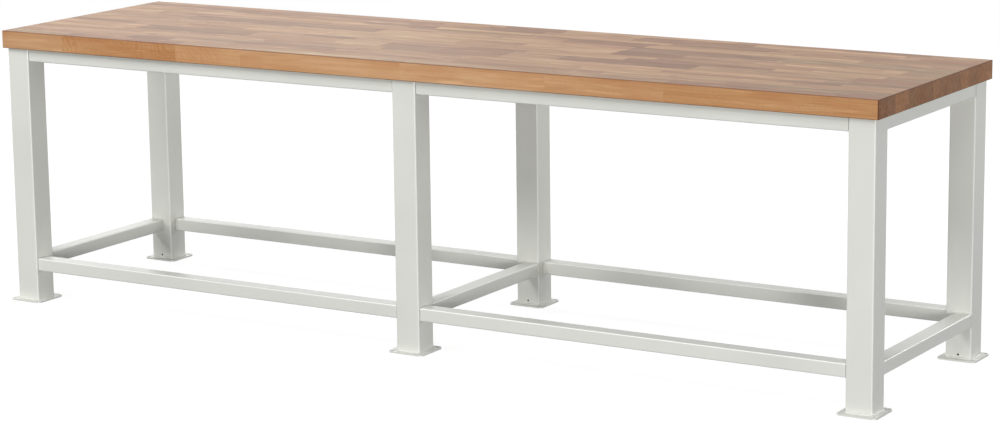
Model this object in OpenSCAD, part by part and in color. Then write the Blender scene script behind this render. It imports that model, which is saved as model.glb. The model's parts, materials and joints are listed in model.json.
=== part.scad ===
// Heavy duty workbench: a thick laminated wooden worktop on three welded trestles,
// joined lengthways by rails that slide over spigots and are bolted from below.
// The origin is on the floor, under the middle of the worktop. +X runs along the bench,
// +Y runs from the front to the rear and +Z is up.

/* [Worktop] */
// Length of the worktop
top_l = 3000; // [2000:10:3600]
// Depth of the worktop, front to rear
top_d = 800; // [600:10:1200]
// Thickness of the worktop
top_t = 55; // [46:1:90]
// Radius of the worktop's four upright corners
top_corner_r = 4; // [1:0.5:12]
// Width of the small chamfer round the worktop's faces
top_arris = 2.5; // [0.5:0.5:4]
// Height of the working surface above the floor
bench_h = 870; // [700:5:1100]
// Distance the worktop overhangs the legs at each end
overhang_x = 12; // [0:1:80]
// Distance the worktop overhangs the legs at the front and rear
overhang_y = 12; // [0:1:80]

/* [Legs] */
// Outside width of the square leg tube
leg_w = 80; // [70:1:100]
// Wall of the leg tube
leg_wall = 3; // [2:0.5:4.5]
// Outside corner radius of the leg tube
leg_r = 5; // [3.5:0.5:8]
// Diameter of the vent and drain hole low on each leg
vent_d = 7; // [4:0.5:12]
// Height of the vent hole's centre above the foot plate
vent_up = 11; // [8:1:40]

/* [Foot plates] */
// Width of the square foot plate
plate_w = 120; // [115:1:160]
// Thickness of the foot plate
plate_t = 5; // [4:0.5:12]
// Corner radius of the foot plate
plate_r = 15; // [5:1:20]
// Distance between anchor hole centres, both ways
anchor_pitch = 96; // [94:1:98]
// Diameter of the anchor holes
anchor_d = 11; // [7:0.5:11]

/* [Rails] */
// Width of the rail tube, lying flat
rail_w = 50; // [40:1:60]
// Height of the rail tube
rail_h = 40; // [32:1:60]
// Wall of the rail tube
rail_wall = 2.5; // [2:0.5:3.5]
// Outside corner radius of the rail tube
rail_r = 4; // [3:0.5:6]
// Distance the lengthways rails are set back from the outer faces of the legs
rail_inset = 5; // [4:0.5:12]
// Distance the cross rails are set back from the faces of the legs at their side
cross_inset = 2; // [0:0.5:12]
// Height of the lower rails' underside above the floor
low_rail_z = 100; // [60:5:300]
// Open seam between a bolted rail's end and the leg
rail_seam = 2; // [0.5:0.5:3]

/* [Rail joints] */
// Length of the folded spigot that a bolted rail slides over
spigot_l = 70; // [60:1:120]
// Plate thickness of the spigot
spigot_t = 4; // [3:0.5:5]
// Outside bend radius of the spigot
spigot_r = 6; // [5.5:0.5:7]
// Gap between the spigot's sides and the inside of the rail
spigot_gap = 0.3; // [0.2:0.1:1]
// Gap between the spigot's upper edges and the inside of the rail
spigot_top_gap = 1; // [0.5:0.5:3]
// Bolts in each rail joint
joint_bolts = 2; // [1:1:2]
// Thread diameter of the rail bolts
bolt_d = 8; // [6:1:10]
// Length of the rail bolts under the head
bolt_l = 18; // [16:1:20]
// Clearance of the bolt holes over the bolt
bolt_clear = 1; // [0.5:0.5:2]
// Gap all round between a thread and the piece it bites into
thread_gap = 0.1; // [0.05:0.05:0.3]

/* [Worktop fixings] */
// Leg length of the angle cleats under the worktop
cleat_leg = 38; // [34:1:50]
// Length of each cleat
cleat_l = 40; // [30:1:80]
// Plate thickness of the cleats
cleat_t = 5; // [3:0.5:6]
// Cleats on each lengthways rail
cleats_per_rail = 2; // [1:1:4]
// Shank diameter of the wood screws
screw_d = 8; // [6:1:10]
// Length of the wood screws under the head
screw_l = 42; // [25:1:45]
// Diameter of the washers under the screw heads
washer_d = 22; // [20:1:24]
// Thickness of the washers
washer_t = 2; // [1:0.5:3]

/* [Hidden] */
$fn = 48;

// Names that the node names are made of
frames = ["left", "middle", "right"];
rows = ["front", "rear"];
levels = ["upper", "lower"];
bays = ["left", "right"];

// Places of the legs' centre lines
leg_x = [for (side = [-1, 0, 1]) side * (top_l / 2 - overhang_x - leg_w / 2)];
leg_y = [for (side = [-1, 1]) side * (top_d / 2 - overhang_y - leg_w / 2)];
leg_top = bench_h - top_t;
// The side of its legs that each trestle's cross rails lie against
cross_side = [-1, 1, 1];

// Undersides of the rails
rail_z = [leg_top - rail_h, low_rail_z];
// Distances of the rails' centre lines outwards from the legs' centre lines
rail_shift = leg_w / 2 - rail_inset - rail_w / 2;
cross_shift = leg_w / 2 - cross_inset - rail_w / 2;
rail_y = [leg_y[0] - rail_shift, leg_y[1] + rail_shift];
bay_l = leg_x[1] - leg_x[0] - leg_w;
rail_l = bay_l - 2 * rail_seam;
bay_x = [(leg_x[0] + leg_x[1]) / 2, (leg_x[1] + leg_x[2]) / 2];
cross_l = leg_y[1] - leg_y[0] - leg_w;

// Spigot section, and its bolt places measured from the leg's face
spigot_w = rail_w - 2 * rail_wall - 2 * spigot_gap;
spigot_h = rail_h - 2 * rail_wall - spigot_top_gap;
bolt_steps = [for (i = [0 : joint_bolts - 1]) spigot_l * (i + 0.5) / joint_bolts];

// Heads, sockets and nuts follow the thread's diameter
bolt_head_d = bolt_d * 1.75;
bolt_head_h = bolt_d * 0.55;
bolt_dome_r = (pow(bolt_head_d / 2, 2) + pow(bolt_head_h, 2)) / (2 * bolt_head_h);
bolt_socket_af = bolt_d * 0.625;
bolt_socket_h = bolt_head_h * 0.6;
nut_af = bolt_d * 1.6;
nut_h = bolt_d * 0.8;
screw_af = screw_d * 1.6;
screw_head_h = screw_d * 0.7;
screw_tip = screw_d * 0.8;
screw_hole_d = screw_d + bolt_clear;

// Cleat centres along a lengthways rail, measured from the rail's middle
cleat_steps = [for (i = [0 : cleats_per_rail - 1]) rail_l * ((i + 0.5) / cleats_per_rail - 0.5)];
// Distance from a rail's inner face to the screw
cleat_reach = (cleat_leg + cleat_t) / 2;

paint = [0.84, 0.84, 0.81];
beech = [0.78, 0.60, 0.42];
zinc = [0.72, 0.73, 0.75];

// Flat shapes

module round_rect(w, h, r) {
    square([w - 2 * r, h], center = true);
    square([w, h - 2 * r], center = true);
    for (x = [-1, 1], y = [-1, 1])
        translate([x * (w / 2 - r), y * (h / 2 - r)])
            circle(r);
}

module tube_section(w, h, wall, r) {
    difference() {
        round_rect(w, h, r);
        round_rect(w - 2 * wall, h - 2 * wall, r - wall);
    }
}

module bevelled_rect(w, h, bevel) {
    x = w / 2;
    y = h / 2;
    polygon([
        [-x + bevel, -y], [x - bevel, -y], [x, -y + bevel], [x, y - bevel],
        [x - bevel, y], [-x + bevel, y], [-x, y - bevel], [-x, -y + bevel]
    ]);
}

module channel_section() {
    intersection() {
        translate([0, spigot_h])
            difference() {
                round_rect(spigot_w, 2 * spigot_h, spigot_r);
                round_rect(spigot_w - 2 * spigot_t, 2 * (spigot_h - spigot_t), spigot_r - spigot_t);
            }
        translate([0, spigot_h / 2])
            square([spigot_w, spigot_h], center = true);
    }
}

module hexagon(across_flats, h) {
    rotate([0, 0, 30])
        cylinder(h = h, d = across_flats / cos(30), $fn = 6);
}

// Extrusions along the bench (X) and across it (Y), both centred

module along_x(l) {
    rotate([90, 0, 90])
        linear_extrude(l, center = true)
            children();
}

module along_y(l) {
    rotate([90, 0, 0])
        linear_extrude(l, center = true)
            children();
}

// Places that repeat

// Children are placed at every worktop screw, with their +Y towards the rail that holds the cleat
module at_cleats(row) {
    inward = row == 0 ? 1 : -1;
    for (x = bay_x, step = cleat_steps)
        translate([x + step, rail_y[row] + inward * rail_w / 2, leg_top])
            rotate([0, 0, row == 0 ? 180 : 0])
                children();
}

module at_cross_cleats() {
    for (i = [0 : 2])
        translate([cross_x(i) - cross_side[i] * rail_w / 2, 0, leg_top])
            rotate([0, 0, cross_side[i] * -90])
                children();
}

module at_all_cleats() {
    for (row = [0, 1])
        at_cleats(row)
            children();
    at_cross_cleats()
        children();
}

function cross_x(i) = leg_x[i] + cross_side[i] * cross_shift;

// Children are placed under every rail bolt of one level, on the rail's underside
module at_bolts(level) {
    for (bay = [0, 1], y = rail_y, step = bolt_steps, end = [-1, 1])
        translate([bay_x[bay] + end * (bay_l / 2 - step), y, rail_z[level]])
            children();
}

// The pieces

module worktop() {
    color(beech)
        difference() {
            translate([0, 0, bench_h - top_t / 2])
                intersection() {
                    linear_extrude(top_t, center = true)
                        round_rect(top_l, top_d, top_corner_r);
                    along_y(top_d)
                        bevelled_rect(top_l, top_t, top_arris);
                    along_x(top_l)
                        bevelled_rect(top_d, top_t, top_arris);
                }
            at_all_cleats()
                translate([0, -cleat_reach, 0])
                    screw_hole();
        }
}

// Pilot hole in the wood, which follows the screw's shank and point
module screw_hole() {
    depth = screw_l - cleat_t - washer_t;
    r = screw_d / 2 + thread_gap;
    rotate_extrude()
        polygon([[0, -1], [r, -1], [r, depth - screw_tip], [0, depth + screw_tip * thread_gap / screw_d * 2]]);
}

module leg(row) {
    inner_face = row == 0 ? 1 : -1;
    color(paint)
        difference() {
            translate([0, 0, plate_t])
                linear_extrude(leg_top - plate_t)
                    tube_section(leg_w, leg_w, leg_wall, leg_r);
            translate([0, inner_face * leg_w / 2, plate_t + vent_up])
                rotate([90, 0, 0])
                    cylinder(h = 4 * leg_wall, d = vent_d, center = true);
        }
}

module foot_plate() {
    color(paint)
        difference() {
            linear_extrude(plate_t)
                round_rect(plate_w, plate_w, plate_r);
            for (x = [-1, 1], y = [-1, 1])
                translate([x * anchor_pitch / 2, y * anchor_pitch / 2, -1])
                    cylinder(h = plate_t + 2, d = anchor_d);
        }
}

module cross_rail(i, level) {
    color(paint)
        translate([cross_x(i), 0, rail_z[level] + rail_h / 2])
            along_y(cross_l)
                tube_section(rail_w, rail_h, rail_wall, rail_r);
}

module long_rail(bay, row, level) {
    color(paint)
        difference() {
            translate([bay_x[bay], rail_y[row], rail_z[level] + rail_h / 2])
                along_x(rail_l)
                    tube_section(rail_w, rail_h, rail_wall, rail_r);
            for (end = [-1, 1], step = bolt_steps)
                translate([bay_x[bay] + end * (bay_l / 2 - step), rail_y[row], rail_z[level] - 1])
                    cylinder(h = rail_wall + 2, d = bolt_d + bolt_clear);
        }
}

// One spigot, running towards +X from the leg face at the origin
module spigot() {
    difference() {
        translate([spigot_l / 2, 0, rail_wall])
            along_x(spigot_l)
                channel_section();
        for (step = bolt_steps)
            translate([step, 0, rail_wall - 1])
                cylinder(h = spigot_t + 2, d = bolt_d + bolt_clear);
    }
}

// The spigots of one trestle, on the leg faces that look into a bay
module frame_spigots(i) {
    sides = i == 0 ? [1] : i == 2 ? [-1] : [-1, 1];
    color(paint)
        for (side = sides, y = rail_y, z = rail_z)
            translate([leg_x[i] + side * leg_w / 2, y, z])
                rotate([0, 0, side == 1 ? 0 : 180])
                    spigot();
}

// A low domed head with a hexagon socket, pointing down. The shank runs into the head,
// so that each bolt is one solid.
module rail_bolt() {
    difference() {
        union() {
            intersection() {
                translate([0, 0, bolt_dome_r - bolt_head_h])
                    sphere(bolt_dome_r);
                translate([0, 0, -bolt_head_h - 1])
                    cylinder(h = bolt_head_h + 1, d = bolt_head_d + 1);
            }
            translate([0, 0, bolt_socket_h / 2 - bolt_head_h / 2])
                cylinder(h = bolt_l + bolt_head_h / 2 - bolt_socket_h / 2, d = bolt_d);
        }
        translate([0, 0, -bolt_head_h - 1])
            hexagon(bolt_socket_af, bolt_socket_h + 1);
    }
}

module rail_bolts(level) {
    color(zinc)
        at_bolts(level)
            rail_bolt();
}

module rail_weld_nuts(level) {
    color(zinc)
        at_bolts(level)
            translate([0, 0, rail_wall + spigot_t])
                difference() {
                    hexagon(nut_af, nut_h);
                    translate([0, 0, -1])
                        cylinder(h = nut_h + 2, d = bolt_d + 2 * thread_gap);
                }
}

// One angle cleat. Its upright leg is on the rail's face at Y = 0 and its flat leg is under the worktop.
module cleat() {
    difference() {
        translate([-cleat_l / 2, -cleat_leg, -cleat_leg])
            cube([cleat_l, cleat_leg, cleat_leg]);
        translate([-cleat_l / 2 - 1, -cleat_leg - 1, -cleat_leg - 1])
            cube([cleat_l + 2, cleat_leg - cleat_t + 1, cleat_leg - cleat_t + 1]);
        translate([0, -cleat_reach, -cleat_t - 1])
            cylinder(h = cleat_t + 2, d = screw_hole_d);
    }
}

module row_cleats(row) {
    color(paint)
        at_cleats(row)
            cleat();
}

module cross_worktop_cleats() {
    color(paint)
        at_cross_cleats()
            cleat();
}

module worktop_washers() {
    color(zinc)
        at_all_cleats()
            translate([0, -cleat_reach, -cleat_t - washer_t])
                difference() {
                    cylinder(h = washer_t, d = washer_d);
                    translate([0, 0, -1])
                        cylinder(h = washer_t + 2, d = screw_hole_d);
                }
}

// A hexagon head on a shank that ends in a point
module wood_screw() {
    translate([0, 0, -screw_head_h])
        hexagon(screw_af, screw_head_h);
    rotate_extrude()
        polygon([
            [0, -screw_head_h / 2], [screw_d / 2, -screw_head_h / 2],
            [screw_d / 2, screw_l - screw_tip], [0, screw_l]
        ]);
}

module worktop_screws() {
    color(zinc)
        at_all_cleats()
            translate([0, -cleat_reach, -cleat_t - washer_t])
                wood_screw();
}

worktop();
for (i = [0 : 2], row = [0, 1]) {
    place = str(frames[i], "_", rows[row]);
    translate([leg_x[i], leg_y[row], 0]) leg(row);
    translate([leg_x[i], leg_y[row], 0]) foot_plate();
}
for (i = [0 : 2], level = [0, 1])
    cross_rail(i, level);
for (bay = [0, 1], row = [0, 1], level = [0, 1])
    long_rail(bay, row, level);
for (i = [0 : 2])
    frame_spigots(i);
for (level = [0, 1]) {
    rail_bolts(level);
    rail_weld_nuts(level);
}
for (row = [0, 1])
    row_cleats(row);
cross_worktop_cleats();
worktop_screws();
worktop_washers();
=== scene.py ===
import json
import math
import random
import bmesh
import bpy
from mathutils import Matrix, Vector


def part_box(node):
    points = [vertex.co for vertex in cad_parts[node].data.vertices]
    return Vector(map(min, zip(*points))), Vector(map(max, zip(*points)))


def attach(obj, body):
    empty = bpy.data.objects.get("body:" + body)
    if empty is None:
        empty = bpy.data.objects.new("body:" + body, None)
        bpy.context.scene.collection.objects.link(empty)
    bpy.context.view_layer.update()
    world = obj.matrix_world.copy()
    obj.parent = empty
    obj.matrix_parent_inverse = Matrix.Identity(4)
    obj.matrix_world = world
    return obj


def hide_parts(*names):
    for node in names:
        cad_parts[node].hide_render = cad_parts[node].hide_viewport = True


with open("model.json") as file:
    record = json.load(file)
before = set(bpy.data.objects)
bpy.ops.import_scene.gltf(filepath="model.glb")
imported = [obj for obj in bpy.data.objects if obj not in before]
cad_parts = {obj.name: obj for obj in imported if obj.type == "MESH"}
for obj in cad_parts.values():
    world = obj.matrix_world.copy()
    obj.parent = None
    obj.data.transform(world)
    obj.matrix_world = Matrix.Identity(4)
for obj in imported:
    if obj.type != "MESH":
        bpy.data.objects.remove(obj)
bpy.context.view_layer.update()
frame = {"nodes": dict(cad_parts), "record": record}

MM = 0.001

# Places that everything else is worked out from, read from the frame
TOP_LO, TOP_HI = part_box("worktop")
LEG_LO, LEG_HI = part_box("left_front_leg")
LEG_W = LEG_HI[0] - LEG_LO[0]
PLATE_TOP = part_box("left_front_foot_plate")[1][2]
SIDES = ("left", "middle", "right")
ROWS = ("front", "rear")
LEVELS = ("upper", "lower")

# Corner radii of the tubes
LEG_R = 5 * MM
RAIL_R = 4 * MM

# Weld beads: leg length at the foot plates and at the cross rails, and the bead's form
PLATE_BEAD = 3.0 * MM
RAIL_BEAD = 1.8 * MM
UPPER_BEAD_TOP = TOP_LO[2] - 4.0 * MM
BEAD_STEP = 0.9 * MM
BEAD_SINK = 0.3 * MM
BEAD_CROWN = 0.60
SHOULDER_LEAN = 0.92
SHOULDER_SPLIT = 1.9
RIPPLE_PITCH = 2.6 * MM
RIPPLE_SHARE = 0.07

# Worktop: shares of its depth that the rows of staves take, then round-overs and the bevels at glue lines
STAVE_WIDTHS = (58, 52, 52, 41, 41, 82, 41, 41, 82, 76, 52, 27, 37, 39, 37, 42)
ARRIS = 2.5 * MM
CORNER_R = 4 * MM
ROUND_STEPS = 3
GLUE_BEVEL = 0.25 * MM
TOUCH = 1e-6
# Joints seen along the front edge, from the bench's middle, and the look of the staves between them
FRONT_JOINTS = (-1.257, -0.815, -0.573, -0.003, 0.482, 0.860, 1.369)
FRONT_TONES = (0.44, 0.26, 0.64, 0.74, 0.68, 0.48, 0.24, 0.20)
FRONT_REDS = (0.10, 0.85, 0.30, 0.00, 0.05, 0.30, 0.80, 0.85)
FRONT_CURLS = (0.0, 1.0, 0.5, 0.0, 0.0, 0.0, 0.15, 0.0)
# Lengths of the other rows' staves: the usual ones, and the shortest at the left and right ends
STAVE_MIN, STAVE_MAX = 0.16, 0.50
LEFT_STAVE_MIN = 0.15
RIGHT_STAVE_MIN = 0.12
STAVE_SEED = 11
# Where in the tree a stave was cut: reach along it and sideways, and how far below it the pith lies
GRAIN_REACH_X = 5
GRAIN_REACH_Y = 0.12
PITH_FAR, PITH_NEAR = 0.95, 0.72
# Tones of the staves: a draw up to the first share is a dark stave, one over the second a pale one
DARK_DRAWS, MIDDLE_DRAWS = 0.22, 0.72
TONE_BASE, MIDDLE_TONES, PALE_TONES = 0.4, 0.45, 0.6
END_TONE_BASE, END_TONES = 0.22, 0.50
RED_BY_CHANCE, RED_BY_TONE = 0.35, 0.65
CURLY_SHARE = 0.06
# How squarely a face looks up, along the bench, or along any axis, to count as top, end or flat,
# and how little so where a rounded corner is at its fullest
TOP_FACING = 0.75
END_FACING = 0.6
FLAT_FACING = 0.97
ROUND_FACING = 0.86
SPECK_AREA = 1e-6

# Painted highlight: the paler colour given to the rounded corners of the powder coat, where light catches
# them
CORNER_HIGHLIGHT_COLOUR = (252, 252, 249)

# Figure of the wood: growth rings and how far they wander, and the ripples of curly grain along each
# axis, in radians to a metre, and how much they bend
RINGS_PER_METRE = 210.0
RING_WANDER = 9.0
CURL_WAVES = (330.0, 60.0, 110.0)
CURL_BEND = 22.0

# Tints of the worktop's faces. The tone is the brightness of the darkest and of the palest stave.
# Green and blue each have their share in a stave with no red, and what full red adds to it
TOP_TINT = {"tone": (0.66, 1.30), "green": (1.09, -0.26), "blue": (1.06, -0.24)}
EDGE_TINT = {"tone": (0.80, 1.14), "green": (1.07, -0.14), "blue": (1.17, -0.34)}
END_TINT = {"tone": (0.66, 1.34), "green": (1.07, -0.14), "blue": (1.17, -0.34)}
# Rubbed edges: how far in the darker rim reaches, and how strong it is
SIDE_RUB_WIDTH, SIDE_RUB = 6 * MM, 0.22
TOP_RUB_WIDTH_X, TOP_RUB_WIDTH_Y, TOP_RUB = 9 * MM, 11 * MM, 0.45

# Stage light: what the world and the floor give the object, and what the floor shows the camera
WORLD_LIGHT = 0.08
FLOOR_BOUNCE = 0.08
FLOOR_SHADE = 0.16
FLOOR_GLOW = 0.93
FLOOR_HALF = 30.0
FLOOR_DROP = 0.5 * MM
# Far lamps: name, azimuth, elevation and spread in degrees, strength.
# Azimuth 0 is in front of the bench, 90 at its right end
FAR_LAMPS = (
    ("front_right", 34.0, 5.5, 11.0, 1.12),
    ("front_left", -30.0, 32.0, 16.0, 0.75),
    ("high_front", 20.0, 58.0, 25.0, 0.57),
)
FAR_LAMP_PLACE = 10.0
# Panels: name, place, aim, width, height, power
PANELS = (
    ("high_left", (-1.8, -2.6, 3.2), (-0.7, 0.0, 0.6), 1.5, 1.5, 38.0),
    ("low_right_front", (2.9, -3.45, 0.6), (0.0, 0.0, 0.6), 1.2, 1.2, 28.0),
    ("rear_far_left", (-5.0, 5.0, 1.5), (-1.0, 0.0, 0.8), 3.0, 1.6, 15.0),
    ("rear_left", (-3.0, 3.0, 4.5), (-0.6, 0.0, 0.8), 3.0, 1.6, 58.0),
    ("rear_middle", (1.0, 3.0, 4.5), (0.2, 0.0, 0.8), 3.0, 1.6, 63.0),
    ("rear_right", (4.0, 5.0, 1.5), (0.8, 0.0, 0.8), 3.0, 1.6, 90.0),
)

# Camera: width of the photo and focal length in its pixels, then place and angles in metres and radians
IMAGE_W = 1000
FOCAL_PX = 2907.0
SENSOR_MM = 36.0
CAMERA_AT = (4.5661, -7.3619, 2.1110)
CAMERA_YAW, CAMERA_PITCH, CAMERA_ROLL = 0.5465, -0.2000, 0.0124
VIEW_DEPTH = 100.0

# Sockets of the Mix node when it mixes colours
MIX_FACTOR, MIX_A, MIX_B, MIX_RESULT = 0, 6, 7, 2


def srgb(r, g, b):
    """A colour given as 0 to 255 values, as linear RGBA."""
    def lin(v):
        v /= 255.0
        return v / 12.92 if v <= 0.04045 else ((v + 0.055) / 1.055) ** 2.4
    return (lin(r), lin(g), lin(b), 1.0)


class Nodes:
    """A node tree, with short calls for the nodes used here."""

    def __init__(self, tree):
        self.tree = tree
        tree.nodes.clear()

    def feed(self, socket, value):
        """Gives a socket a plain value, or another node's output."""
        if isinstance(value, bpy.types.NodeSocket):
            self.tree.links.new(value, socket)
        else:
            socket.default_value = value

    def add(self, kind, *values, operation=None, **inputs):
        """A new node. Values go to its first inputs, and keywords to the inputs of that name, with _ for
        a space."""
        node = self.tree.nodes.new(kind)
        if operation:
            node.operation = operation
        for socket, value in zip(node.inputs, values):
            self.feed(socket, value)
        for key, value in inputs.items():
            self.feed(node.inputs[key.replace("_", " ")], value)
        return node

    def math(self, operation, *values):
        return self.add("ShaderNodeMath", *values, operation=operation).outputs[0]

    def vec(self, operation, *values):
        node = self.add("ShaderNodeVectorMath", *values, operation=operation)
        return node.outputs["Value" if operation in ("LENGTH", "DOT_PRODUCT") else "Vector"]

    def noise(self, place, scale, detail=2.0, rough=0.5):
        node = self.add("ShaderNodeTexNoise", Vector=place, Scale=scale, Detail=detail, Roughness=rough)
        return node.outputs["Fac"]

    def grain(self, place, along, across, detail=2.0, rough=0.5, shift=None):
        """Noise drawn out along the bench, with about so many waves to a metre along and across it."""
        if shift:
            place = self.vec("ADD", place, shift)
        return self.noise(self.vec("MULTIPLY", place, (along, across, across)), 1.0, detail, rough)

    def remap(self, value, lo, hi, to_lo=0.0, to_hi=1.0):
        node = self.add("ShaderNodeMapRange", Value=value, From_Min=lo, From_Max=hi,
                        To_Min=to_lo, To_Max=to_hi)
        return node.outputs["Result"]

    def mix(self, factor, a, b, mode="MIX"):
        node = self.add("ShaderNodeMix")
        node.data_type = "RGBA"
        node.blend_type = mode
        for key, value in ((MIX_FACTOR, factor), (MIX_A, a), (MIX_B, b)):
            self.feed(node.inputs[key], value)
        return node.outputs[MIX_RESULT]

    def attribute(self, name, output="Fac"):
        node = self.add("ShaderNodeAttribute")
        node.attribute_name = name
        return node.outputs[output]

    def bump(self, height, strength, distance):
        node = self.add("ShaderNodeBump", Height=height, Strength=strength, Distance=distance)
        return node.outputs["Normal"]

    def object_place(self):
        return self.add("ShaderNodeTexCoord").outputs["Object"]

    def seen_by(self, *rays):
        """1 for the camera's rays and those of the kinds named, 0 for light."""
        path = self.add("ShaderNodeLightPath")
        seen = path.outputs["Is Camera Ray"]
        for ray in rays:
            seen = self.math("MAXIMUM", seen, path.outputs[ray])
        return seen


def new_material(name):
    material = bpy.data.materials.new(name)
    material.use_nodes = True
    return material, Nodes(material.node_tree)


def powder_coat(name, pale, deep, fleck, corner_highlight=0.8):
    """Powder coat: faint orange peel, uneven tone and gloss, and a painted highlight on the rounded
    corners.
    """
    material, n = new_material(name)
    p = n.object_place()
    cloud = n.noise(p, scale=3.0, detail=3.0)
    fine = n.noise(p, scale=900.0)
    peel = n.noise(p, scale=420.0, detail=3.0, rough=0.6)
    base = n.mix(n.remap(cloud, 0.35, 0.65), deep, pale)
    base = n.mix(n.remap(fine, 0.62, 0.75, to_hi=0.35), base, fleck)
    # A face that looks between two axes is a rounded corner, which is made paler as a painted highlight
    facing = n.add("ShaderNodeNewGeometry").outputs["True Normal"]
    x, y, z = n.add("ShaderNodeSeparateXYZ", Vector=n.vec("ABSOLUTE", facing)).outputs
    most = n.math("MAXIMUM", x, n.math("MAXIMUM", y, z))
    corner = n.remap(most, FLAT_FACING, ROUND_FACING)
    base = n.mix(n.math("MULTIPLY", corner, corner_highlight), base, srgb(*CORNER_HIGHLIGHT_COLOUR))
    shader = n.add("ShaderNodeBsdfPrincipled", Base_Color=base, IOR=1.5, Specular_IOR_Level=0.8,
                   Roughness=n.remap(cloud, 0.3, 0.7, 0.28, 0.36),
                   Normal=n.bump(peel, strength=0.25, distance=0.4 * MM))
    n.add("ShaderNodeOutputMaterial", Surface=shader.outputs[0])
    return material


def zinc():
    """Bright zinc plate on bolts, nuts, screws and washers."""
    material, n = new_material("zinc_plate")
    p = n.object_place()
    patch = n.noise(p, scale=260.0, detail=3.0)
    base = n.mix(n.remap(patch, 0.3, 0.7), srgb(176, 179, 186), srgb(208, 209, 211))
    shader = n.add("ShaderNodeBsdfPrincipled", Base_Color=base, Metallic=1.0,
                   Roughness=n.remap(patch, 0.3, 0.7, 0.22, 0.40),
                   Normal=n.bump(n.noise(p, scale=1500.0), strength=0.2, distance=0.2 * MM))
    n.add("ShaderNodeOutputMaterial", Surface=shader.outputs[0])
    return material


def growth_rings(n, q):
    """Growth rings round the pith, which lies well outside the stave and wanders slowly."""
    wander = n.grain(q, along=1.6, across=9.0)
    radius = n.vec("LENGTH", n.vec("MULTIPLY", q, (0.0, 1.0, 1.0)))
    rings = n.math("MULTIPLY_ADD", radius, RINGS_PER_METRE, n.math("MULTIPLY", wander, RING_WANDER))
    return n.remap(n.math("SINE", n.math("MULTIPLY", rings, 2.0 * math.pi)), -0.2, 1.0)


def curly_patches(n, q):
    """Curly patches, where the grain waves across the stave in soft ripples."""
    bend = n.grain(q, along=16.0, across=22.0)
    turn = n.math("MULTIPLY_ADD", bend, CURL_BEND, n.vec("DOT_PRODUCT", q, CURL_WAVES))
    ripple = n.math("SINE", turn)
    patch = n.remap(n.grain(q, along=11.0, across=18.0, detail=1.0), 0.40, 0.60)
    return n.math("MULTIPLY", n.remap(ripple, -0.5, 1.0, to_hi=0.62), patch)


def stave_tint(n, tint):
    """Each stave is a little lighter, darker or redder than the next."""
    red = n.attribute("stave_red")
    scale = n.remap(n.attribute("stave_tone"), 0.0, 1.0, *tint["tone"])
    green, blue = (n.math("MULTIPLY", scale, n.math("MULTIPLY_ADD", red, added, plain))
                   for plain, added in (tint["green"], tint["blue"]))
    return n.add("ShaderNodeCombineXYZ", scale, green, blue).outputs[0]


def rubbed_rim(n, p, on_top):
    """How much the edges round the top are rubbed darker, on the top itself or on the sides."""
    x, y, z = n.add("ShaderNodeSeparateXYZ", Vector=p).outputs
    if not on_top:
        return n.remap(z, TOP_HI[2] - SIDE_RUB_WIDTH, TOP_HI[2] - ARRIS, to_hi=SIDE_RUB)
    along, across = n.math("ABSOLUTE", x), n.math("ABSOLUTE", y)
    ends = n.remap(along, TOP_HI[0] - TOP_RUB_WIDTH_X, TOP_HI[0] - ARRIS, to_hi=TOP_RUB)
    sides = n.remap(across, TOP_HI[1] - TOP_RUB_WIDTH_Y, TOP_HI[1] - 2 * ARRIS, to_hi=TOP_RUB)
    return n.math("MAXIMUM", ends, sides)


def beech(name, pale, deep, flame, streaks, tint, on_top=False, rough=0.34):
    """Oiled beech. The grain is solid, so it runs on from face to face. Each stave has its place in it."""
    material, n = new_material(name)
    p = n.object_place()
    q = n.vec("ADD", p, n.attribute("stave_place", "Vector"))
    dark = (deep[0] * 0.62, deep[1] * 0.50, deep[2] * 0.44, 1.0)
    light = tuple(min(1.0, v * 1.30 + 0.04) for v in pale[:3]) + (1.0,)
    glue_line = tuple(v * 0.75 for v in dark[:3]) + (1.0,)
    # Figure at three sizes, all drawn out along the stave
    streak = n.grain(q, along=2.2, across=70.0, detail=4.0, rough=0.6)
    cloud = n.grain(q, along=3.5, across=14.0, detail=3.0)
    flecks = n.grain(q, along=60.0, across=900.0)
    ring = growth_rings(n, q)
    colour = n.mix(n.remap(streak, 0.30, 0.70), pale, deep)
    colour = n.mix(n.remap(cloud, 0.35, 0.75, to_hi=0.55), colour, flame)
    colour = n.mix(n.math("MULTIPLY", ring, 0.14), colour, dark)
    # Broad darker bands
    band = n.grain(q, along=5.0, across=38.0, shift=(6.1, 3.3, 2.2))
    colour = n.mix(n.remap(band, 0.54, 0.64, to_hi=streaks * 0.7), colour, flame)
    curl = n.math("MULTIPLY", curly_patches(n, q), n.attribute("stave_curl"))
    colour = n.mix(curl, colour, flame)
    # Short dark and pale streaks
    lines = n.grain(q, along=5.0, across=150.0, shift=(0.0, 2.3, 5.1))
    colour = n.mix(n.remap(lines, 0.60, 0.68, to_hi=streaks), colour, dark)
    lines = n.grain(q, along=7.0, across=110.0, detail=1.0, shift=(8.0, 4.4, 1.7))
    colour = n.mix(n.remap(lines, 0.64, 0.72, to_hi=streaks), colour, light)
    colour = n.mix(n.remap(flecks, 0.60, 0.72, to_hi=0.40), colour, dark)
    colour = n.mix(1.0, colour, stave_tint(n, tint), "MULTIPLY")
    colour = n.mix(rubbed_rim(n, p, on_top), colour, dark)
    colour = n.mix(n.math("MULTIPLY", n.attribute("stave_arris"), 0.95), colour, glue_line)
    relief = n.math("ADD", n.math("MULTIPLY", flecks, 0.6), n.math("MULTIPLY", ring, 0.25))
    shader = n.add("ShaderNodeBsdfPrincipled", Base_Color=colour, IOR=1.45, Specular_IOR_Level=0.21,
                   Roughness=n.math("MULTIPLY_ADD", streak, 0.16, rough),
                   Normal=n.bump(relief, strength=0.25, distance=0.3 * MM))
    n.add("ShaderNodeOutputMaterial", Surface=shader.outputs[0])
    return material


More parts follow.
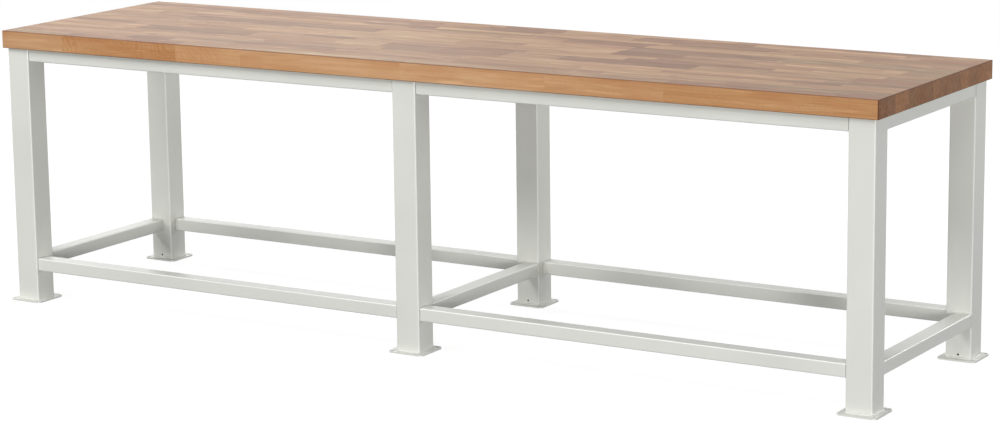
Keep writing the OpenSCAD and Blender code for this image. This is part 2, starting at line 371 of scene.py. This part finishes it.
def clip(bm, point, normal):
    """Cuts away what lies on the normal's side of a plane, and closes the cut."""
    cut = bmesh.ops.bisect_plane(bm, geom=bm.verts[:] + bm.edges[:] + bm.faces[:], dist=1e-7,
                                 plane_co=point, plane_no=normal, clear_outer=True)
    edges = [e for e in cut["geom_cut"] if isinstance(e, bmesh.types.BMEdge)]
    if edges:
        bmesh.ops.contextual_create(bm, geom=edges)


def round_over(bm, lo, hi, axes, size, steps):
    """Rounds the edges of the box lo..hi that run along the third axis, where they cut this piece."""
    a, b = axes
    centre = (Vector(lo) + Vector(hi)) / 2
    # Each flat lies between the arc and its chord
    between = math.cos(math.pi / 4 / (steps + 1)) ** 0.5
    for sa in (-1, 1):
        for sb in (-1, 1):
            pivot = centre.copy()
            pivot[a] = (hi[a] - size) if sa > 0 else (lo[a] + size)
            pivot[b] = (hi[b] - size) if sb > 0 else (lo[b] + size)
            for i in range(1, steps + 1):
                turn = math.pi / 2 * i / (steps + 1)
                normal = Vector((0, 0, 0))
                normal[a] = sa * math.cos(turn)
                normal[b] = sb * math.sin(turn)
                clip(bm, pivot + normal * size * between, normal)


def stave(lo, hi):
    """One stave: its own fine bevel at the glue lines, and the worktop's round-over where it is outside."""
    bm = bmesh.new()
    bmesh.ops.create_cube(bm, size=1.0)
    bmesh.ops.scale(bm, vec=Vector(hi) - Vector(lo), verts=bm.verts)
    bmesh.ops.translate(bm, vec=(Vector(hi) + Vector(lo)) / 2, verts=bm.verts)
    for axes in ((1, 2), (0, 2)):
        round_over(bm, lo, hi, axes, GLUE_BEVEL, 1)
    at_end, at_side = (abs(lo[i] - TOP_LO[i]) < TOUCH or abs(hi[i] - TOP_HI[i]) < TOUCH for i in (0, 1))
    if at_side:
        round_over(bm, TOP_LO, TOP_HI, (1, 2), ARRIS, ROUND_STEPS)
    if at_end:
        round_over(bm, TOP_LO, TOP_HI, (0, 2), ARRIS, ROUND_STEPS)
    if at_end and at_side:
        round_over(bm, TOP_LO, TOP_HI, (0, 1), CORNER_R, ROUND_STEPS)
    return bm


def stave_joints(row, rng):
    """X of the butt joints of one row of staves."""
    if row == 0:
        return list(FRONT_JOINTS)
    joints = []
    x = TOP_LO[0] + rng.uniform(LEFT_STAVE_MIN, STAVE_MAX)
    while x < TOP_HI[0] - RIGHT_STAVE_MIN:
        joints.append(x)
        x += rng.uniform(STAVE_MIN, STAVE_MAX)
    return joints


def stave_look(row, number, last, y0, rng):
    """A stave's place in the tree, tone, redness and curl. Staves of the front row follow the photo."""
    place = Vector((rng.uniform(-GRAIN_REACH_X, GRAIN_REACH_X),
                    rng.uniform(-GRAIN_REACH_Y, GRAIN_REACH_Y) - y0, rng.uniform(-PITH_FAR, -PITH_NEAR)))
    tone = rng.random()
    if tone >= DARK_DRAWS:
        tone = TONE_BASE + (MIDDLE_TONES if tone < MIDDLE_DRAWS else PALE_TONES) * tone
    red = RED_BY_CHANCE * rng.random() + RED_BY_TONE * (1.0 - tone)
    if last:
        # The staves at the right end, whose end grain shows, differ less
        tone = END_TONE_BASE + END_TONES * rng.random()
    curl = 1.0 if rng.random() < CURLY_SHARE else 0.0
    if row == 0:
        tone, red, curl = FRONT_TONES[number], FRONT_REDS[number], FRONT_CURLS[number]
    return {"stave_place": place, "stave_tone": tone, "stave_red": red, "stave_curl": curl}


def build_worktop(top, edge, end):
    """All the staves as one mesh, with each stave's look written on its points."""
    rng = random.Random(STAVE_SEED)
    whole = bmesh.new()
    layers = {"stave_place": whole.verts.layers.float_vector.new("stave_place")}
    for name in ("stave_tone", "stave_red", "stave_curl"):
        layers[name] = whole.verts.layers.float.new(name)
    spread = (TOP_HI[1] - TOP_LO[1]) / sum(STAVE_WIDTHS)
    for row, share in enumerate(STAVE_WIDTHS):
        y0 = TOP_LO[1] + sum(STAVE_WIDTHS[:row]) * spread
        y1 = y0 + share * spread
        ends = [TOP_LO[0]] + stave_joints(row, rng) + [TOP_HI[0]]
        for number, (x0, x1) in enumerate(zip(ends, ends[1:])):
            bm = stave((x0, y0, TOP_LO[2]), (x1, y1, TOP_HI[2]))
            look = stave_look(row, number, x1 == TOP_HI[0], y0, rng)
            copy = {}
            for v in bm.verts:
                copy[v] = whole.verts.new(v.co)
                for name, layer in layers.items():
                    copy[v][layer] = look[name]
            for f in bm.faces:
                whole.faces.new([copy[v] for v in f.verts])
            bm.free()
    mesh = bpy.data.meshes.new("worktop_staves")
    bmesh.ops.recalc_face_normals(whole, faces=whole.faces[:])
    whole.to_mesh(mesh)
    whole.free()
    for material in (top, edge, end):
        mesh.materials.append(material)
    arris = mesh.attributes.new("stave_arris", "FLOAT", "FACE")
    for f in mesh.polygons:
        along, across, up = (abs(v) for v in f.normal)
        f.material_index = 0 if up > TOP_FACING else 2 if along > END_FACING else 1
        slanting = max(along, across, up) < FLAT_FACING and f.area > SPECK_AREA
        arris.data[f.index].value = 1.0 if slanting else 0.0
    piece = bpy.data.objects.new("worktop_staves", mesh)
    bpy.context.collection.objects.link(piece)
    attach(piece, "root")
    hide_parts("worktop")


def bead(bm, path, inward, upward, size, closed, drop=lambda place: 0.0):
    """A fillet weld along a path. At each point, inward and upward are the directions of its two faces.
    drop gives how far the surface under the bead falls away at a place, where it is rounded."""
    rings = []
    run = 0.0
    for i, point in enumerate(path):
        if i:
            run += (point - path[i - 1]).length
        ripple = 1.0 + RIPPLE_SHARE * math.cos(2 * math.pi * run / RIPPLE_PITCH)
        a, b = inward[i] * size * ripple, upward[i] * size * ripple
        crown = (a + b) * BEAD_CROWN
        corners = (
            point - inward[i] * BEAD_SINK - upward[i] * (BEAD_SINK + drop(point)),
            point + a - upward[i] * drop(point + a),
            point + (a * SHOULDER_LEAN + crown) / SHOULDER_SPLIT,
            point + crown,
            point + (b * SHOULDER_LEAN + crown) / SHOULDER_SPLIT,
            point + b,
        )
        rings.append([bm.verts.new(corner) for corner in corners])
    count = len(rings[0])
    for r0, r1 in zip(rings, rings[1:] + rings[:1] if closed else rings[1:]):
        for k in range(count):
            m = (k + 1) % count
            bm.faces.new([r0[k], r0[m], r1[m], r1[k]])
    if not closed:
        bm.faces.new(rings[0])
        bm.faces.new(list(reversed(rings[-1])))


def round_loop(w, h, r):
    """Points and outward normals round a rectangle w x h with corner radius r, at about an even step."""
    points = []
    corners = ((1, 1), (-1, 1), (-1, -1), (1, -1))
    for k, (cx, cy) in enumerate(corners):
        centre = Vector((cx * (w / 2 - r), cy * (h / 2 - r)))
        turns = max(3, round(r * math.pi / 2 / BEAD_STEP))
        for i in range(turns + 1):
            a = math.pi / 2 * (k + i / turns)
            n = Vector((math.cos(a), math.sin(a)))
            points.append((centre + n * r, n))
        # The straight stretch to where the next corner begins
        nx, ny = corners[(k + 1) % len(corners)]
        last, normal = points[-1]
        goal = Vector((nx * (w / 2 - r), ny * (h / 2 - r))) + normal * r
        steps = max(1, round((goal - last).length / BEAD_STEP))
        for i in range(1, steps):
            points.append((last.lerp(goal, i / steps), normal))
    return points


def plate_bead(bm, side, row):
    """The bead round a leg's foot, on its foot plate."""
    lo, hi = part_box(f"{side}_{row}_leg")
    cx, cy = (lo[0] + hi[0]) / 2, (lo[1] + hi[1]) / 2
    loop = round_loop(LEG_W, LEG_W, LEG_R)
    path = [Vector((cx + p.x, cy + p.y, PLATE_TOP)) for p, n in loop]
    out = [Vector((n.x, n.y, 0)) for p, n in loop]
    up = [Vector((0, 0, 1))] * len(loop)
    bead(bm, path, out, up, PLATE_BEAD, True)


def rail_beads(bm, side, level):
    """The beads at both ends of a cross rail, on the legs' flat faces and rounded corners."""
    lo_leg, hi_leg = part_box(f"{side}_front_leg")
    lo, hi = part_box(f"{side}_{level}_cross_rail")
    cx, cz = (lo[0] + hi[0]) / 2, (lo[2] + hi[2]) / 2
    loop = round_loop(hi[0] - lo[0], hi[2] - lo[2], RAIL_R)
    closed = hi[2] <= TOP_LO[2] - RAIL_BEAD
    if not closed:
        # The upper rails touch the worktop, so their bead leaves out the top
        heights = [cz + p.y for p, n in loop]
        start = next(i for i in range(len(loop)) if heights[i - 1] > UPPER_BEAD_TOP >= heights[i])
        loop = [q for q in loop[start:] + loop[:start] if cz + q[0].y <= UPPER_BEAD_TOP]

    def rounding(place):
        """How far the leg's rounded corner falls away from its flat face at this x."""
        inset = min(place.x - lo_leg[0], hi_leg[0] - place.x)
        reach = min(LEG_R, max(0.0, LEG_R - inset))
        return LEG_R - math.sqrt(LEG_R ** 2 - reach ** 2)

    out = [Vector((n.x, 0, n.y)) for p, n in loop]
    for y, away in ((lo[1], 1), (hi[1], -1)):
        path = [Vector((cx + p.x, y, cz + p.y)) for p, n in loop]
        along = [Vector((0, away, 0))] * len(loop)
        bead(bm, path, out, along, RAIL_BEAD, closed, rounding)


def build_welds(side, paint):
    """All the weld beads of one trestle."""
    bm = bmesh.new()
    for row in ROWS:
        plate_bead(bm, side, row)
    for level in LEVELS:
        rail_beads(bm, side, level)
    name = f"{side}_trestle_welds"
    mesh = bpy.data.meshes.new(name)
    bmesh.ops.recalc_face_normals(bm, faces=bm.faces[:])
    bm.to_mesh(mesh)
    bm.free()
    mesh.materials.append(paint)
    for f in mesh.polygons:
        f.use_smooth = True
    piece = bpy.data.objects.new(name, mesh)
    bpy.context.collection.objects.link(piece)
    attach(piece, "root")


def dress_cad(paint, seam_shade, plate):
    """Zinc plate on the fasteners, powder coat on the rest.
    The spigots, seen only through the seams, get a dark grey coat as painted shade in the seams."""
    finish = {s["node"]: s["material_slot"] for s in frame["record"]["subparts"]}
    for name, piece in frame["nodes"].items():
        coat = seam_shade if name.endswith("_spigots") else paint
        for slot in piece.material_slots:
            slot.material = plate if finish[name] == "zinc_steel" else coat


def make_camera():
    data = bpy.data.cameras.new("camera")
    camera = bpy.data.objects.new("camera", data)
    bpy.context.collection.objects.link(camera)
    data.sensor_fit = "HORIZONTAL"
    data.sensor_width = SENSOR_MM
    data.lens = FOCAL_PX * SENSOR_MM / IMAGE_W
    data.clip_end = VIEW_DEPTH
    level = Matrix.Rotation(math.pi / 2, 4, "X")
    turn = (Matrix.Rotation(CAMERA_YAW, 4, "Z") @ Matrix.Rotation(CAMERA_PITCH, 4, "X")
            @ Matrix.Rotation(CAMERA_ROLL, 4, "Y") @ level)
    camera.matrix_world = Matrix.Translation(CAMERA_AT) @ turn
    bpy.context.scene.camera = camera


def aim_at(light, at, aim):
    bpy.context.collection.objects.link(light)
    light.location = at
    light.rotation_euler = (Vector(aim) - Vector(at)).to_track_quat("-Z", "Y").to_euler()


def area_light(name, at, aim, width, height, power):
    data = bpy.data.lights.new(name, "AREA")
    data.shape = "RECTANGLE"
    data.size, data.size_y = width, height
    data.energy = power
    aim_at(bpy.data.objects.new(name, data), at, aim)


def far_light(name, azimuth, elevation, spread, strength):
    """An even light from far away."""
    data = bpy.data.lights.new(name, "SUN")
    data.angle = math.radians(spread)
    data.energy = strength
    a, e = math.radians(azimuth), math.radians(elevation)
    towards = Vector((math.sin(a) * math.cos(e), -math.cos(a) * math.cos(e), math.sin(e)))
    aim_at(bpy.data.objects.new(name, data), towards * FAR_LAMP_PLACE, (0, 0, 0))


def make_world():
    """White to look at and in reflections, while its light on the object is soft and weak."""
    world = bpy.data.worlds.new("studio")
    bpy.context.scene.world = world
    world.use_nodes = True
    n = Nodes(world.node_tree)
    soft = n.add("ShaderNodeBackground", Color=(1, 1, 1, 1), Strength=WORLD_LIGHT)
    white = n.add("ShaderNodeBackground", Color=(1, 1, 1, 1), Strength=1.0)
    seen = n.seen_by("Is Glossy Ray", "Is Transmission Ray")
    pick = n.add("ShaderNodeMixShader", seen, soft.outputs[0], white.outputs[0])
    n.add("ShaderNodeOutputWorld", Surface=pick.outputs[0])


def make_floor():
    """A white floor that keeps a faint shadow and gives the object little light."""
    material, n = new_material("studio_floor")
    bounce = n.add("ShaderNodeBsdfDiffuse", Color=(FLOOR_BOUNCE, FLOOR_BOUNCE, FLOOR_BOUNCE, 1))
    shade = n.add("ShaderNodeBsdfDiffuse", Color=(FLOOR_SHADE, FLOOR_SHADE, FLOOR_SHADE, 1))
    glow = n.add("ShaderNodeEmission", Color=(1, 1, 1, 1), Strength=FLOOR_GLOW)
    shown = n.add("ShaderNodeAddShader", shade.outputs[0], glow.outputs[0])
    seen = n.seen_by("Is Glossy Ray")
    pick = n.add("ShaderNodeMixShader", seen, bounce.outputs[0], shown.outputs[0])
    n.add("ShaderNodeOutputMaterial", Surface=pick.outputs[0])
    bm = bmesh.new()
    bmesh.ops.create_grid(bm, x_segments=1, y_segments=1, size=FLOOR_HALF)
    mesh = bpy.data.meshes.new("studio_floor")
    bm.to_mesh(mesh)
    bm.free()
    mesh.materials.append(material)
    floor = bpy.data.objects.new("studio_floor", mesh)
    floor.location.z = -FLOOR_DROP
    bpy.context.collection.objects.link(floor)


bpy.context.scene.view_settings.view_transform = "Standard"
PAINT = powder_coat("grey_powder_coat", srgb(227, 228, 221), srgb(221, 222, 215), srgb(208, 210, 201))
# Painted shade: a dark grey for the spigots, so that the seams round the rails read dark
SEAM_SHADE_PAINT = powder_coat("seam_shade_coat", srgb(150, 151, 146), srgb(128, 129, 125), srgb(112, 112, 108),
                         corner_highlight=0.0)
# The weld beads get only a faint painted corner highlight
WELD_PAINT = powder_coat("weld_powder_coat", srgb(225, 226, 219), srgb(217, 218, 211), srgb(206, 207, 199),
                         corner_highlight=0.15)
# Painted shade: the top is given darker colours than the front edges of the same wood
BEECH_TOP_SHADED = beech("beech_top_shaded", srgb(184, 149, 113), srgb(160, 122, 89), srgb(137, 97, 74),
                  streaks=0.8, tint=TOP_TINT, on_top=True)
BEECH_EDGE = beech("beech_edge", srgb(217, 172, 128), srgb(199, 148, 102), srgb(184, 123, 77),
                   streaks=0.25, tint=EDGE_TINT)
BEECH_END = beech("beech_end_grain", srgb(174, 124, 83), srgb(147, 101, 64), srgb(126, 82, 53),
                  streaks=0.5, tint=END_TINT, rough=0.55)
dress_cad(PAINT, SEAM_SHADE_PAINT, zinc())
build_worktop(BEECH_TOP_SHADED, BEECH_EDGE, BEECH_END)
for trestle in SIDES:
    build_welds(trestle, WELD_PAINT)
make_camera()
make_world()
make_floor()
for lamp in FAR_LAMPS:
    far_light(*lamp)
for panel in PANELS:
    area_light(*panel)
